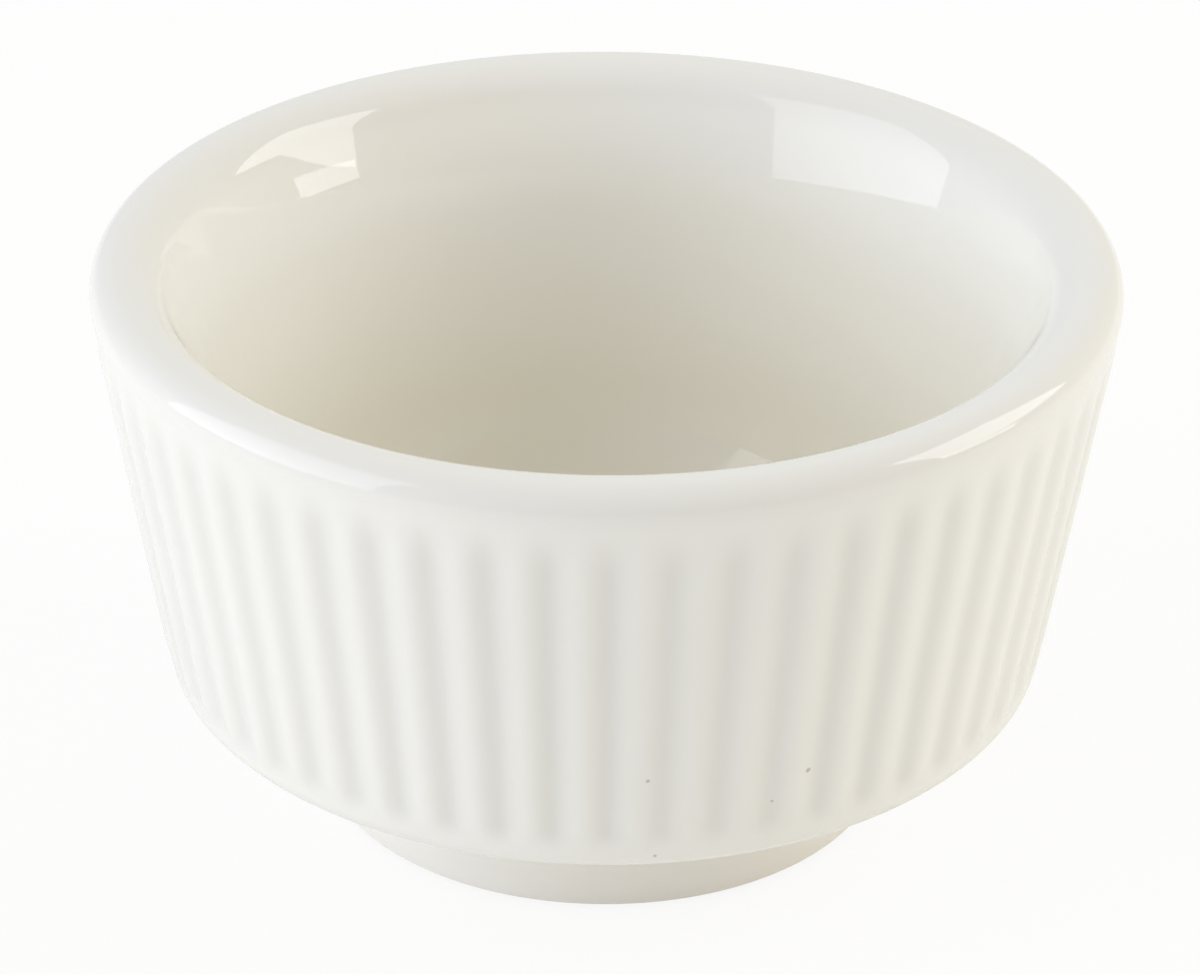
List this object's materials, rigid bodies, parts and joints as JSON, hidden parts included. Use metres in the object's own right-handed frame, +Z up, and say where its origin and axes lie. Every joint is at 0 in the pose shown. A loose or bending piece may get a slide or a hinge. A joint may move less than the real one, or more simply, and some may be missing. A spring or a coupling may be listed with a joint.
{
  "type": "dip bowl",
  "caption": "Small round ceramic dip bowl with a thick rounded lip, a flared wall with fine upright ribs and a narrow foot ring, for serving sauce or dip.",
  "frame": {"origin": "on the table, at the middle of the foot ring's resting face", "axes": "+Z up along the bowl's axis of revolution; a rib's crest lies on each of the X and Y axes"},
  "size_m": [0.08, 0.08, 0.046],
  "materials": {
    "biscuit": "fired clay, bare and slightly rough, pale buff",
    "glaze": "glossy warm white glaze"
  },
  "bodies": {
    "root": {"ceramic_body": "biscuit", "glaze_coat": "glaze", "base_glaze": "glaze"}
  },
  "joints": []
}
